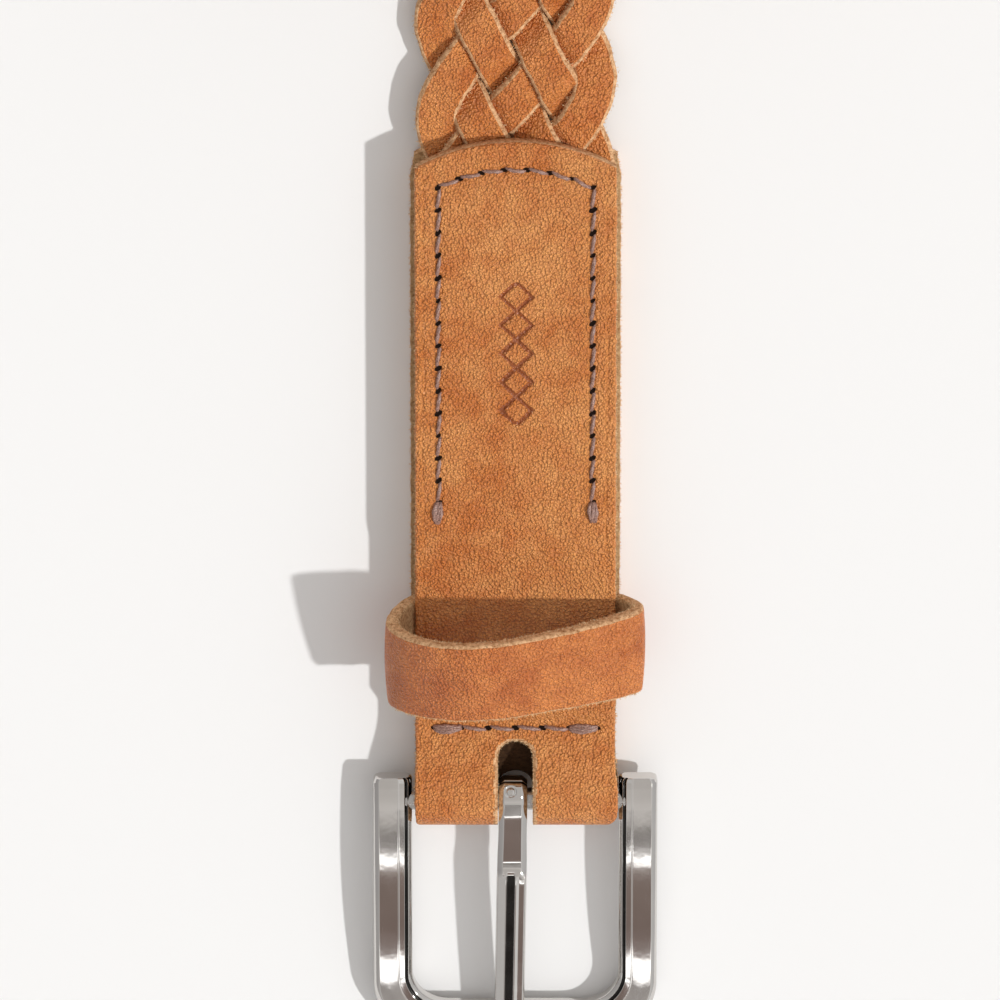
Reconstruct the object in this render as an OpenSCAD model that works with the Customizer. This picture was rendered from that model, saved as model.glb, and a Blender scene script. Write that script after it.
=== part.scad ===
// Braided leather belt with a heel-bar buckle, a stitched head, a keeper and a stitched tip.
// The head and the first stretch lie flat, and the rest is rolled up on the same surface.
// +X runs across the belt, +Y from the buckle towards the tip, +Z up. The origin is under the head.

/* [Belt] */
// Width of the head leather
belt_w = 35; // [30:0.5:40]
// Length from the heel bar to the end of the tip
belt_len = 1050; // [950:10:1100]
// Thickness of the head, keeper and tip leather
leather_t = 2.4; // [1.8:0.1:2.6]

/* [Head] */
// Length of the folded head, from the heel bar to its round end
head_len = 125; // [115:1:140]
// Radius of the arc that ends the head
head_end_r = 34; // [30:1:80]
// Width of the slot that the prong turns in
slot_w = 6.2; // [5.6:0.1:7]
// Reach of that slot from the heel bar
slot_reach = 12; // [10:0.5:12]
// Reach of the slot on the underside of the fold
slot_under = 6; // [5.5:0.5:8]

/* [Braid] */
// Number of strands, an even number so that one edge goes over and the other under
strand_n = 6; // [6:2:6]
// Width of one strand
strand_w = 6.4; // [5.5:0.1:6.6]
// Thickness of one strand
strand_t = 1.9; // [1.5:0.1:2]
// Distance between two lobes along one edge of the braid
lobe_pitch = 17; // [16:0.5:19]
// Share of a strand's cycle by which its rightward leg is shorter than half
leg_bias = 0.1; // [0:0.005:0.1]
// Place of the first lobe along the left edge
lobe_first = 8.9; // [0:0.1:17]

/* [Roll] */
// Distance from the heel bar to where the strap starts to curl up
roll_start = 218; // [200:1:260]
// Radial distance from one turn of the roll to the next
roll_pitch = 5.2; // [5:0.1:7]
// Radius of the strap's middle at the inner end of the roll
roll_inner_r = 17; // [16:0.5:30]

/* [Keeper] */
// Width of the keeper strip along the belt
keeper_w = 16.4; // [12:0.2:17]
// Distance from the heel bar to the keeper's near edge
keeper_y = 22.8; // [22:0.2:25]
// Outer width of the loop across the belt
keeper_span = 45.2; // [44:0.2:50]
// Height of the top of the loop above the surface that the belt lies on
keeper_top = 23.4; // [18:0.2:30]

/* [Buckle] */
// Outer width of the frame
frame_w = 50; // [48:0.5:56]
// Width of each side bar and of the front bar
frame_bar = 6.8; // [6:0.1:7]
// Thickness of the frame
frame_t = 3.6; // [3:0.1:4]
// Distance from the heel bar to the front of the frame
frame_front = 46.5; // [46:0.1:52]
// Distance from the heel bar to the end of each ear
frame_heel = 4.5; // [4:0.1:5]
// Radius of the heel bar
bar_r = 2; // [1.8:0.1:2.1]
// Width of the prong
prong_w = 4.8; // [4.4:0.1:5]

/* [Stitching] */
// Distance from one stitch to the next
stitch = 4.2; // [3.8:0.1:4.4]
// Radius of the thread
thread_r = 0.4; // [0.3:0.05:0.4]

/* [Hidden] */
STRANDS = [for (k = [1 : 6]) str("strand_", k)];

tan_leather = [0.80, 0.47, 0.24];
edge_leather = [0.72, 0.42, 0.22];
nickel = [0.78, 0.77, 0.74];
thread_brown = [0.45, 0.27, 0.20];

touch = 0.02;            // gap between pieces that lie against each other
fold_r = bar_r + 0.25;   // inside radius of the fold round the heel bar
bar_z = fold_r + leather_t;

// Half of the gap between the two head layers at four places along the head.
gap_fold = fold_r;
gap_pinch = 0.2;
gap_keeper = 1.75;
gap_braid = fold_r;
cross_y = slot_reach + 2.5;   // the cross row of stitches
pinch_flat = 1;
keeper_room = [18.4, 46];     // stretch of the head that the keeper can use
braid_from = 50;              // the gap is full from here on
strand_from = 47.5;           // the strands end here, inside the head

function smooth(t) = let (u = min(1, max(0, t))) u * u * (3 - 2 * u);
function mix(a, b, t) = a + (b - a) * t;
function half_gap(y) =
    y < cross_y ? mix(gap_fold, gap_pinch, smooth((y - 1.5) / (cross_y - pinch_flat - 1.5)))
    : y < keeper_room[1]
        ? mix(gap_pinch, gap_keeper,
              smooth((y - cross_y - pinch_flat) / (keeper_room[0] - cross_y - pinch_flat)))
    : mix(gap_keeper, gap_braid, smooth((y - keeper_room[1]) / (braid_from - keeper_room[1])));

// ---- The strap's middle line, and how a point of the flat strap is placed on it ----
half_braid = strand_t + 0.15;           // half of the braid's thickness
strap_z = half_braid + 0.05;            // height of the strap's middle where it lies flat
drop_from = head_len - 6;               // the braid comes down to the surface over this stretch
drop_to = head_len + 30;
roll_len = belt_len - roll_start;

// Turns of a spiral with this length, pitch and inner radius.
roll_turns = (-roll_inner_r + sqrt(pow(roll_inner_r, 2) + roll_pitch * roll_len / PI)) / roll_pitch;
roll_outer_r = roll_inner_r + roll_pitch * roll_turns;
roll_z = roll_outer_r + strap_z;

// The tip is thicker than the braid, so the last stretch leans inwards by this much.
tip_len = 82;
tip_lean = 2.6;

// Angle turned, in degrees, after a length along the spiral.
function roll_angle(len) =
    360 * (roll_outer_r - sqrt(max(0, pow(roll_outer_r, 2) - roll_pitch * len / PI))) / roll_pitch;
function roll_radius(len) = roll_outer_r - roll_pitch * roll_angle(len) / 360
    - tip_lean * smooth((len - (roll_len - tip_len - 25)) / 25);
function flat_z(s) = mix(bar_z, strap_z, smooth((s - drop_from) / (drop_to - drop_from)));

// A point x across, s along and z off the strap's middle. The roll curls towards +Z.
function place(x, s, z) =
    s <= roll_start
        ? [x, s, flat_z(s) + z]
        : let (a = roll_angle(s - roll_start), r = roll_radius(s - roll_start) - z)
          [x, roll_start + r * sin(a), roll_z - r * cos(a)];

// A ribbon of rectangular section. Each ring is [x left, s left, x right, s right, z, thickness].
module ribbon(rings) {
    n = len(rings);
    points = [for (r = rings)
        each [place(r[0], r[1], r[4] - r[5] / 2), place(r[2], r[3], r[4] - r[5] / 2),
              place(r[2], r[3], r[4] + r[5] / 2), place(r[0], r[1], r[4] + r[5] / 2)]];
    sides = [for (i = [0 : n - 2], j = [0 : 3])
        let (a = 4 * i + j, b = 4 * i + (j + 1) % 4)
        each [[a, b, b + 4], [a, b + 4, a + 4]]];
    last = 4 * (n - 1);
    polyhedron(points, concat([[2, 1, 0], [3, 2, 0]], sides,
        [[last, last + 1, last + 2], [last, last + 2, last + 3]]), convexity = 10);
}

// ---- The braid ----
cycle = strand_n * lobe_pitch;             // length of the strap for one full cycle of a strand
path_amp = (belt_w - 1) / 2 - strand_w / 2;
roundness = 0.95;                          // 1 would turn a strand in a sharp corner
layer_z = strand_t / 2 + 0.14;             // height of a strand's middle where it lies over another

// A strand's middle at phase p: 0 at the left edge, 0.5 at the right edge. Here +x is to the left.
function path_x(p) = path_amp * asin(roundness * cos(360 * p)) / asin(roundness);
function path_s(p) = cycle * (p - leg_bias * (1 - cos(360 * p)) / 2);
function path_dir(p) =
    let (d = 0.001) atan2(path_s(p + d) - path_s(p - d), path_x(p + d) - path_x(p - d));
// A ring lies along the crossing strand, and square across where the strand turns.
function ring_dir(p) =
    let (turn = pow(abs(cos(360 * p)), 6), side = sin(360 * p) >= 0 ? 1 : -1,
         square = path_dir(p) - 90, other = path_dir(1 - p), along = side > 0 ? other : other - 180)
    mix(along, square, turn);
function crossing_sign(j) = j % 12 < 6 ? (j % 2 == 1 ? 1 : -1) : (j % 2 == 1 ? -1 : 1);

// Phases of the rings round crossing j, and the height of each.
half_flat = strand_w / 2 + 0.15;
function flat_phase(p) =
    let (d = 0.001, a = path_dir(p), b = path_dir(1 - p),
         speed = norm([path_x(p + d) - path_x(p - d), path_s(p + d) - path_s(p - d)]) / (2 * d))
    half_flat / abs(sin(a - b)) / speed;
turn_reach = 0.048;   // how far the outermost flats run towards the turn
function crossing_rings(j) =
    let (p = j / 12, f = flat_phase(p), m = j % 12,
         before = (m == 1 || m == 7) ? turn_reach : f,
         after = (m == 5 || m == 11) ? turn_reach : f,
         z = crossing_sign(j) * layer_z)
    concat([[p - before, z]],
           (m == 1 || m == 7) ? [[p - f / 2, z]] : [],
           (m == 5 || m == 11) ? [[p + f / 2, z]] : [],
           [[p + after, z]]);
function strand_ring(k, p, z) =
    let (a = ring_dir(p), h = strand_w / 2 / abs(sin(a - path_dir(p))),
         x = path_x(p), s = path_s(p) + k * lobe_pitch + lobe_first)
    [-x - h * cos(a), s + h * sin(a), -x + h * cos(a), s - h * sin(a), z, strand_t];
function strand_rings(k) =
    let (first = floor(12 * (strand_from - cycle) / cycle), last = ceil(12 * (belt_len + cycle) / cycle))
    [for (j = [first : last])
        each (j % 6 == 0 ? [strand_ring(k, j / 12, 0)]
                         : [for (q = crossing_rings((j % 12 + 12) % 12))
                            strand_ring(k, q[0] + floor(j / 12), q[1])])];
strand_to = belt_len - tip_len + 30;       // the strands end here, inside the tip
function within(r, from, to) = min(r[1], r[3]) > from && max(r[1], r[3]) < to;

module strand(k) {
    color(tan_leather)
        ribbon([for (r = strand_rings(k)) if (within(r, strand_from, strand_to)) r]);
}

// ---- Thread: straight lengths with round joints between them, and legs into the holes ----
thread_up = thread_r + 0.25;     // height of a thread's middle above the leather
hole_r = thread_r + 0.06;
leg_r = 0.8 * thread_r;          // a thread is drawn thinner where it goes through the leather
lock_gap = 0.05;                 // half of the gap between the two threads where they would lock

module rod(a, b, r) {
    d = b - a;
    length = norm(d);
    translate(a)
        rotate([0, acos(d[2] / length), atan2(d[1], d[0])])
            cylinder(r = r, h = length);
}

module legs(outer, inner) {
    for (i = [0 : len(outer) - 1])
        rod(outer[i], inner[i], leg_r, $fn = 8);
}

// Thread laid through the holes, off the strap's middle by z, with a leg at each hole down to leg_z.
module thread(holes, z, leg_z) {
    last = len(holes) - 1;
    color(thread_brown) {
        ribbon([for (i = [0 : last])
            let (h = holes[i], d = holes[min(last, i + 1)] - holes[max(0, i - 1)],
                 n = thread_r * [-d[1], d[0]] / norm(d), w = h + n, e = h - n)
            [w[0], w[1], e[0], e[1], z[i], 2 * thread_r]]);
        legs([for (i = [0 : last]) place(holes[i][0], holes[i][1], z[i])],
            [for (i = [0 : last]) place(holes[i][0], holes[i][1], leg_z[i])]);
    }
}

// ---- The folded head ----
row_x = 13.4;                                    // the two long rows of stitches
row_inset = 5;                                   // the end row, in from the round end
end_c = head_len - head_end_r;                   // centre of the round end
end_r = head_end_r - row_inset;
end_a = asin(row_x / end_r);
row_far = end_c + end_r * cos(end_a);
row_count = floor((row_far - braid_from - 4) / stitch);
end_count = round(end_r * 2 * end_a * PI / 180 / stitch);
head_holes = concat(
    [for (i = [row_count : -1 : 1]) [-row_x, row_far - i * stitch]],
    [for (i = [0 : end_count])
        let (a = -end_a + 2 * end_a * i / end_count) [end_r * sin(a), end_c + end_r * cos(a)]],
    [for (i = [1 : row_count]) [row_x, row_far - i * stitch]]);
cross_x = 14.3;
cross_count = 7;
cross_holes = [for (i = [0 : cross_count - 1])
    [-cross_x + 2 * cross_x * i / (cross_count - 1), cross_y]];
groove_w = 2 * thread_r + 0.6;
groove_t = 2 * thread_r + 0.1;                   // the threads under the head lie in this groove

function face_z(y) = bar_z + half_gap(y) + leather_t;
function back_z(y) = bar_z - half_gap(y) - leather_t;

// Places along the head where the section is worked out.
stations = concat([for (y = [0 : 1 : 20]) y], [for (y = [keeper_room[1] - 1 : 1 : braid_from + 1]) y],
    [head_len + 5]);
module head_section() {
    arc = [for (a = [90 : 7.5 : 270]) a];
    polygon(concat(
        [for (i = [len(stations) - 1 : -1 : 1]) [stations[i], face_z(stations[i])]],
        [for (a = arc) [0, bar_z] + (fold_r + leather_t) * [cos(a), sin(a)]],
        [for (i = [1 : len(stations) - 1]) [stations[i], back_z(stations[i])]],
        [for (i = [len(stations) - 1 : -1 : 1]) [stations[i], back_z(stations[i]) + leather_t]],
        [for (i = [len(arc) - 1 : -1 : 0]) [0, bar_z] + fold_r * [cos(arc[i]), sin(arc[i])]],
        [for (i = [1 : len(stations) - 1]) [stations[i], face_z(stations[i]) - leather_t]]));
}

module slot(reach, z0, z1) {
    translate([-slot_w / 2, -20, z0])
        cube([slot_w, 20 + reach - slot_w / 2, z1 - z0]);
    translate([0, reach - slot_w / 2, z0])
        cylinder(r = slot_w / 2, h = z1 - z0, $fn = 48);
}

module buckle_tab() {
    tall = 30;
    color(tan_leather)
        difference() {
            rotate([90, 0, 90])
                linear_extrude(belt_w, center = true)
                    head_section();
            // The round end.
            difference() {
                translate([-belt_w, end_c, -tall])
                    cube([2 * belt_w, head_end_r + 20, 2 * tall]);
                translate([0, end_c, -tall - 1])
                    cylinder(r = head_end_r, h = 2 * tall + 2, $fn = 96);
            }
            // The slot for the prong, through the fold: long on the face and short underneath.
            slot(slot_reach, bar_z, tall);
            slot(slot_under, -tall, bar_z);
            // Holes for the thread.
            for (h = head_holes)
                translate([h[0], h[1], -1])
                    cylinder(r = hole_r, h = tall, $fn = 24);
            for (h = cross_holes)
                translate([h[0], h[1], -1])
                    cylinder(r = hole_r, h = tall, $fn = 24);
            // The groove under the head.
            for (x = [-row_x, row_x])
                translate([x - groove_w / 2, row_far - row_count * stitch - 1, -1])
                    cube([groove_w, row_count * stitch + 1, 1 + groove_t]);
            intersection() {
                difference() {
                    translate([0, end_c, -1])
                        cylinder(r = end_r + groove_w / 2, h = 1 + groove_t, $fn = 96);
                    translate([0, end_c, -2])
                        cylinder(r = end_r - groove_w / 2, h = 4, $fn = 96);
                }
                translate([-row_x - groove_w / 2, row_far - 0.6, -2])
                    cube([2 * row_x + groove_w, head_end_r, 4]);
            }
        }
}

function same(holes, z) = [for (h = holes) z];
module head_top_thread() {
    out = gap_braid + leather_t;
    thread(head_holes, same(head_holes, out + thread_r + touch),
        same(head_holes, gap_braid - 0.05));
}

module head_bobbin_thread() {
    out = gap_braid + leather_t;
    thread(head_holes, same(head_holes, -out + thread_r + 0.05),
        same(head_holes, -gap_braid + 0.05));
}

module cross_top_thread() {
    out = half_gap(cross_y) + leather_t;
    thread(cross_holes, same(cross_holes, out + thread_r + touch), same(cross_holes, lock_gap));
}

module cross_bobbin_thread() {
    out = half_gap(cross_y) + leather_t;
    thread(cross_holes, same(cross_holes, -out - thread_r - touch), same(cross_holes, -lock_gap));
}

// ---- The keeper: one strip whose ends meet inside the head, held by two staples ----
keeper_in = leather_t;
keeper_low = bar_z - leather_t / 2;
keeper_foot_r = 6.5;                             // the two corners beside the head
keeper_arch_r = min(10, (keeper_top - keeper_low) / 2);
wire = 0.4;
staple_x = 3;
staple_count = 2;

// A block with round long edges: r0 on the two lower ones and r1 on the two upper ones.
module rounded_box(x, z0, z1, r0, r1, y0, y1) {
    for (sx = [-1, 1]) {
        translate([sx * (x - r0), y1, z0 + r0])
            rotate([90, 0, 0])
                cylinder(r = r0, h = y1 - y0, $fn = 48);
        translate([sx * (x - r1), y1, z1 - r1])
            rotate([90, 0, 0])
                cylinder(r = r1, h = y1 - y0, $fn = 64);
    }
    translate([-x, y0, z0 + r0])
        cube([2 * x, y1 - y0, z1 - r1 - z0 - r0]);
    translate([-x + r0, y0, z0])
        cube([2 * (x - r0), y1 - y0, r0 + 0.1]);
    translate([-x + r1, y0, z1 - r1 - 0.1])
        cube([2 * (x - r1), y1 - y0, r1 + 0.1]);
}

// Places of the staples along the keeper.
staple_at = [for (i = [1 : staple_count]) keeper_y + keeper_w * (i - 0.5) / staple_count];
module staple(y, grow) {
    w = wire + 2 * grow;
    translate([-staple_x - w / 2, y - w / 2, keeper_low - wire / 2 - grow])
        cube([2 * staple_x + w, w, w]);
    for (x = [-staple_x, staple_x])
        translate([x - w / 2, y - w / 2, keeper_low - wire / 2 - grow])
            cube([w, w, leather_t - 0.1 + 2 * grow]);
}

module keeper() {
    color(tan_leather)
        difference() {
            rounded_box(keeper_span / 2, keeper_low, keeper_top, keeper_foot_r, keeper_arch_r,
                keeper_y, keeper_y + keeper_w);
            rounded_box(keeper_span / 2 - keeper_in, keeper_low + keeper_in, keeper_top - keeper_in,
                keeper_foot_r - keeper_in, keeper_arch_r - keeper_in,
                keeper_y - 1, keeper_y + keeper_w + 1);
            // The joint between the two ends.
            translate([-0.1, keeper_y - 1, keeper_low - 1])
                cube([0.2, keeper_w + 2, keeper_in + 2]);
            for (y = staple_at)
                staple(y, 0.02);
        }
}

module keeper_staples() {
    color(nickel)
        for (y = staple_at)
            staple(y, 0);
}

// ---- The buckle ----
frame_in = frame_w / 2 - frame_bar;
corner_r = 11;                    // outside radius of the two front corners
inner_corner_r = 6.5;
heel_corner_r = 2.2;
front_z = frame_t / 2 + 0.05;     // height of the frame's middle at the front bar
arch = 1.6;                       // rise of the arms between the two ends
prong_t = 2.1;
bore_gap = 0.05;
bar_len = frame_w - 5;

function frame_mid(y) =
    let (u = (y + frame_front) / (frame_front + frame_heel))
    mix(front_z, bar_z, min(1, (y + frame_front) / frame_front)) + arch * sin(180 * min(1, u));
module frame_side() {
    steps = 24;
    ys = [for (i = [0 : steps]) -frame_front + (frame_front + frame_heel) * i / steps];
    polygon(concat([for (y = ys) [y, frame_mid(y) + frame_t / 2]],
        [for (i = [steps : -1 : 0]) [ys[i], frame_mid(ys[i]) - frame_t / 2]]));
}

// A block with four round upright edges; the two pairs can have different radii.
module plan_block(x, y0, y1, r0, r1, h) {
    for (sx = [-1, 1]) {
        translate([sx * (x - r0), y0 + r0, -1])
            cylinder(r = r0, h = h, $fn = 64);
        translate([sx * (x - r1), y1 - r1, -1])
            cylinder(r = r1, h = h, $fn = 64);
    }
    translate([-x + r0, y0, -1])
        cube([2 * (x - r0), r0 + 1, h]);
    translate([-x, y0 + r0, -1])
        cube([2 * x, y1 - y0 - r0 - r1, h]);
    translate([-x + r1, y1 - r1 - 1, -1])
        cube([2 * (x - r1), r1 + 1, h]);
}

module buckle_frame() {
    color(nickel)
        difference() {
            intersection() {
                rotate([90, 0, 90])
                    linear_extrude(frame_w + 10, center = true)
                        frame_side();
                plan_block(frame_w / 2, -frame_front, frame_heel, corner_r, heel_corner_r, 20);
            }
            translate([0, 0, -2])
                plan_block(frame_in, -frame_front + frame_bar, frame_heel + 20, inner_corner_r, 2, 30);
            translate([-bar_len / 2, 0, bar_z])
                rotate([0, 90, 0])
                    cylinder(r = bar_r + 0.01, h = bar_len, $fn = 64);
        }
}

module heel_bar() {
    color(nickel)
        translate([-bar_len / 2 + 0.02, 0, bar_z])
            rotate([0, 90, 0])
                cylinder(r = bar_r, h = bar_len - 0.04, $fn = 64);
}

prong_ring = bar_r + bore_gap + 2.1;
front_top = frame_mid(-frame_front + frame_bar) + frame_t / 2;
prong_end = -frame_front - 1;
prong_kink = -12;
module prong_side() {
    top = bar_z + prong_ring;
    over = front_top + 0.15;
    polygon([[0, top], [0, top - prong_t / 2], [-prong_ring + 0.4, bar_z + 1.4],
        [prong_kink, top - prong_t - 0.2],
        [-frame_front + frame_bar, over], [prong_end + 2, over], [prong_end, over - 0.1],
        [prong_end - 0.4, over + 0.6], [prong_end + 1.2, over + prong_t - 0.4],
        [-frame_front + frame_bar + 1, over + prong_t], [prong_kink - 1, top + 0.3],
        [prong_kink + 1, top]]);
}

module prong() {
    color(nickel)
        difference() {
            union() {
                rotate([90, 0, 90])
                    linear_extrude(prong_w, center = true)
                        prong_side();
                translate([-prong_w / 2, 0, bar_z])
                    rotate([0, 90, 0])
                        cylinder(r = prong_ring, h = prong_w, $fn = 64);
            }
            translate([-prong_w, 0, bar_z])
                rotate([0, 90, 0])
                    cylinder(r = bar_r + bore_gap, h = 2 * prong_w, $fn = 64);
        }
}

// ---- The tip: a face and a lining with the ends of the strands between them ----
tip_t = 1.7;
tip_from = belt_len - tip_len;
tip_point = 22;                       // length of the rounded point
tip_row = 4;                          // stitches, in from the edge
tip_gap = 0.5;                        // room for the strands on the tight turns
function tip_half(s, inset) =
    s < belt_len - tip_point
        ? belt_w / 2 - inset
        : let (u = (s - belt_len + tip_point) / (tip_point - inset * 0.8))
          (belt_w / 2 - inset) * sqrt(max(0, 1 - u * u));
function tip_off(s) = mix(half_braid + tip_gap, 0.06, smooth((s - strand_to - 1) / 10)) + tip_t / 2;
tip_rings = concat([for (s = [tip_from : 3 : belt_len - tip_point]) s],
    [for (u = [0.25 : 0.15 : 0.85]) belt_len - tip_point + u * tip_point],
    [for (u = [0.92, 0.97, 0.996]) belt_len - tip_point + u * tip_point]);
tip_rows = floor((belt_len - tip_point - tip_from - 4) / stitch);
tip_turns = 10;
tip_holes = concat(
    [for (i = [tip_rows : -1 : 1]) [-belt_w / 2 + tip_row, belt_len - tip_point - i * stitch]],
    [for (i = [0 : tip_turns])
        let (a = 180 * i / tip_turns)
        [-(belt_w / 2 - tip_row) * cos(a), belt_len - tip_point + (tip_point - tip_row) * sin(a)]],
    [for (i = [1 : tip_rows]) [belt_w / 2 - tip_row, belt_len - tip_point - i * stitch]]);
function tip_at(side, up) =
    [for (h = tip_holes) place(h[0], h[1], side * (tip_off(h[1]) + up))];

module tip_layer(side) {
    outer = tip_at(side, tip_t);
    inner = tip_at(side, -tip_t);
    color(tan_leather)
        difference() {
            ribbon([for (s = tip_rings)
                [-tip_half(s, 0), s, tip_half(s, 0), s, side * tip_off(s), tip_t]]);
            for (i = [0 : len(tip_holes) - 1])
                rod(inner[i], outer[i], hole_r, $fn = 8);
        }
}

module tip_thread(side) {
    thread(tip_holes, [for (h = tip_holes) side * (tip_off(h[1]) + tip_t / 2 + thread_up)],
        [for (h = tip_holes) side * (tip_off(h[1]) - tip_t / 2 + 0.03)]);
}

// The modules measure +Y from the heel bar; this puts the origin under the middle of the head.
origin_y = 85;
module put() {
    translate([0, -origin_y, 0])
        children();
}

put() buckle_frame();
put() heel_bar();
put() prong();
put() buckle_tab();
put() keeper();
put() keeper_staples();
put() strand(0);  // strand_1
put() strand(1);  // strand_2
put() strand(2);  // strand_3
put() strand(3);  // strand_4
put() strand(4);  // strand_5
put() strand(5);  // strand_6
put() tip_layer(1);  // tip_face
put() tip_layer(-1);  // tip_lining
put() head_top_thread();
put() head_bobbin_thread();
put() cross_top_thread();
put() cross_bobbin_thread();
put() tip_thread(1);  // tip_top_thread
put() tip_thread(-1);  // tip_bobbin_thread
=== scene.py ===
"""Looks of a braided leather belt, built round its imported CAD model.

Lengths inside the helpers are in millimetres and are turned into metres as a mesh is made."""
import bpy
import math
import numpy as np
from mathutils import Matrix, Vector


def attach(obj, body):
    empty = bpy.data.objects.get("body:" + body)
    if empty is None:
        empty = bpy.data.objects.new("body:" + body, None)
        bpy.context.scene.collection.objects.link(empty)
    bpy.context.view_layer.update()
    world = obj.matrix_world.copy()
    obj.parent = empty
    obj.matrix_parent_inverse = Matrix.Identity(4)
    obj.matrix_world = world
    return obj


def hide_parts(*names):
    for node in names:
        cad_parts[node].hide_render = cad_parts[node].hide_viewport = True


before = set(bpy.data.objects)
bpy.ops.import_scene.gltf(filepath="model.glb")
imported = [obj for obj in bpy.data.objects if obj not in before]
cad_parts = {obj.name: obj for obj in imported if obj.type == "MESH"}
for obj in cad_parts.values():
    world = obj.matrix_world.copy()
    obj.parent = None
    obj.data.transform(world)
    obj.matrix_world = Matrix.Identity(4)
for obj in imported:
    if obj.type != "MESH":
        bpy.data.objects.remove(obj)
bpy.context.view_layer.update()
MM = 0.001
ORIGIN_Y = 85.0          # the helpers measure along the belt from the heel bar

# ---------- camera
TILT = math.radians(22.0)
LOOK_AT = Vector((-2.7, 54.8 - ORIGIN_Y, 0.0)) * MM
DISTANCE, VIEW_WIDTH, SENSOR = 2.5, 0.175, 36.0
back = Vector((0.0, math.sin(TILT), math.cos(TILT)))
up = Vector((0.0, math.cos(TILT), -math.sin(TILT)))
cam_data = bpy.data.cameras.new("camera")
cam_data.sensor_width = SENSOR
cam_data.lens = SENSOR * DISTANCE / VIEW_WIDTH
cam_data.clip_end = 20.0
camera = bpy.data.objects.new("camera", cam_data)
bpy.context.scene.collection.objects.link(camera)
camera.location = LOOK_AT + back * DISTANCE
# The camera's own axes, with the belt's length up the picture.
right = up.cross(back)
camera.rotation_euler = Matrix((
    (right.x, up.x, back.x), (right.y, up.y, back.y), (right.z, up.z, back.z))).to_euler()
bpy.context.scene.camera = camera

# ---------- the belt's own sizes
BELT_W, BELT_LEN, LEATHER = 35.0, 1050.0, 2.4
FOLD_R = 2.25
BAR_Z = FOLD_R + LEATHER
HEAD_LEN, HEAD_END_R = 125.0, 34.0
SLOT_W, SLOT_REACH, SLOT_UNDER = 6.2, 12.0, 4.6
SLOT_END = SLOT_REACH - SLOT_W / 2      # centre of the slot's round end
CROSS_Y = SLOT_REACH + 2.5             # the seam across the head
KEEPER_FROM, BRAID_FROM = 18.4, 46.0   # where the layers part for the keeper, and for the braid
EDGE_ROUND, JAG = 0.45, 0.10           # rounding of the head's edges, and how ragged they are
STRAND_W, STRAND_T, LOBE = 7.3, 1.9, 17.0
STRANDS = 6
ROLL_START, ROLL_PITCH, ROLL_INNER = 218.0, 5.2, 17.0
TIP_LEN, TIP_LEAN, TIP_T, TIP_POINT = 82.0, 2.6, 1.7, 22.0
HALF_BRAID = 2.05
STRAP_Z = HALF_BRAID + 0.05
DROP = (HEAD_LEN - 6, HEAD_LEN + 30)
ROLL_LEN = BELT_LEN - ROLL_START
TURNS = (-ROLL_INNER + math.sqrt(ROLL_INNER ** 2 + ROLL_PITCH * ROLL_LEN / math.pi)) / ROLL_PITCH
ROLL_R = ROLL_INNER + ROLL_PITCH * TURNS
ROLL_Z = ROLL_R + STRAP_Z
STRAND_TO = BELT_LEN - TIP_LEN + 30


def smooth(t):
    u = np.clip(t, 0.0, 1.0)
    return u * u * (3 - 2 * u)


def mix(a, b, t):
    return a + (b - a) * t


def place(x, s, z):
    """A point of the flat strap, x across, s along and z off its middle, where the strap lies."""
    x, s, z = np.broadcast_arrays(x, s, z)
    run = np.maximum(s - ROLL_START, 0)
    root = np.sqrt(np.maximum(0, ROLL_R ** 2 - ROLL_PITCH * run / math.pi))
    turned = 2 * math.pi * (ROLL_R - root) / ROLL_PITCH
    r = root - TIP_LEAN * smooth((run - (ROLL_LEN - TIP_LEN - 25)) / 25) - z
    rolled = s > ROLL_START
    flat = mix(BAR_Z, STRAP_Z, smooth((s - DROP[0]) / (DROP[1] - DROP[0])))
    y = np.where(rolled, ROLL_START + r * np.sin(turned), s)
    h = np.where(rolled, ROLL_Z - r * np.cos(turned), flat + z)
    return np.stack([x, y, h], axis=-1)


def half_gap(y):
    """Half of the gap between the two layers of the head."""
    pinch, keep = 0.2, 1.75
    a = mix(FOLD_R, pinch, smooth((y - 1.5) / (CROSS_Y - 1 - 1.5)))
    b = mix(pinch, keep, smooth((y - CROSS_Y - 1) / (KEEPER_FROM - CROSS_Y - 1)))
    c = mix(keep, FOLD_R, smooth((y - BRAID_FROM) / 4))
    return np.where(y < CROSS_Y, a, np.where(y < BRAID_FROM, b, c))


# ---------- meshes from grids
def add_mesh(name, verts, faces, mats, face_mats=None):
    """A smooth mesh from points in millimetres. face_mats gives each face its material."""
    mesh = bpy.data.meshes.new(name)
    placed = (np.asarray(verts) - np.array([0.0, ORIGIN_Y, 0.0])) * MM
    mesh.from_pydata(placed.tolist(), [], faces)
    for m in mats:
        mesh.materials.append(m)
    if face_mats is not None:
        mesh.polygons.foreach_set("material_index", np.asarray(face_mats, dtype=np.int32))
    mesh.polygons.foreach_set("use_smooth", np.ones(len(mesh.polygons), dtype=bool))
    mesh.validate()
    mesh.update()
    obj = bpy.data.objects.new(name, mesh)
    bpy.context.scene.collection.objects.link(obj)
    return obj


def grid_faces(n, m, wrap_rows=False, flip=False, base=0):
    """Quads of an n by m grid of points, whose last column joins the first."""
    i = np.arange(n if wrap_rows else n - 1)[:, None]
    j = np.arange(m)[None, :]
    i2, j2 = (i + 1) % n, (j + 1) % m
    quads = np.stack([i * m + j, i * m + j2, i2 * m + j2, i2 * m + j], axis=-1)
    quads = quads.reshape(-1, 4) + base
    return quads[:, ::-1] if flip else quads


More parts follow.
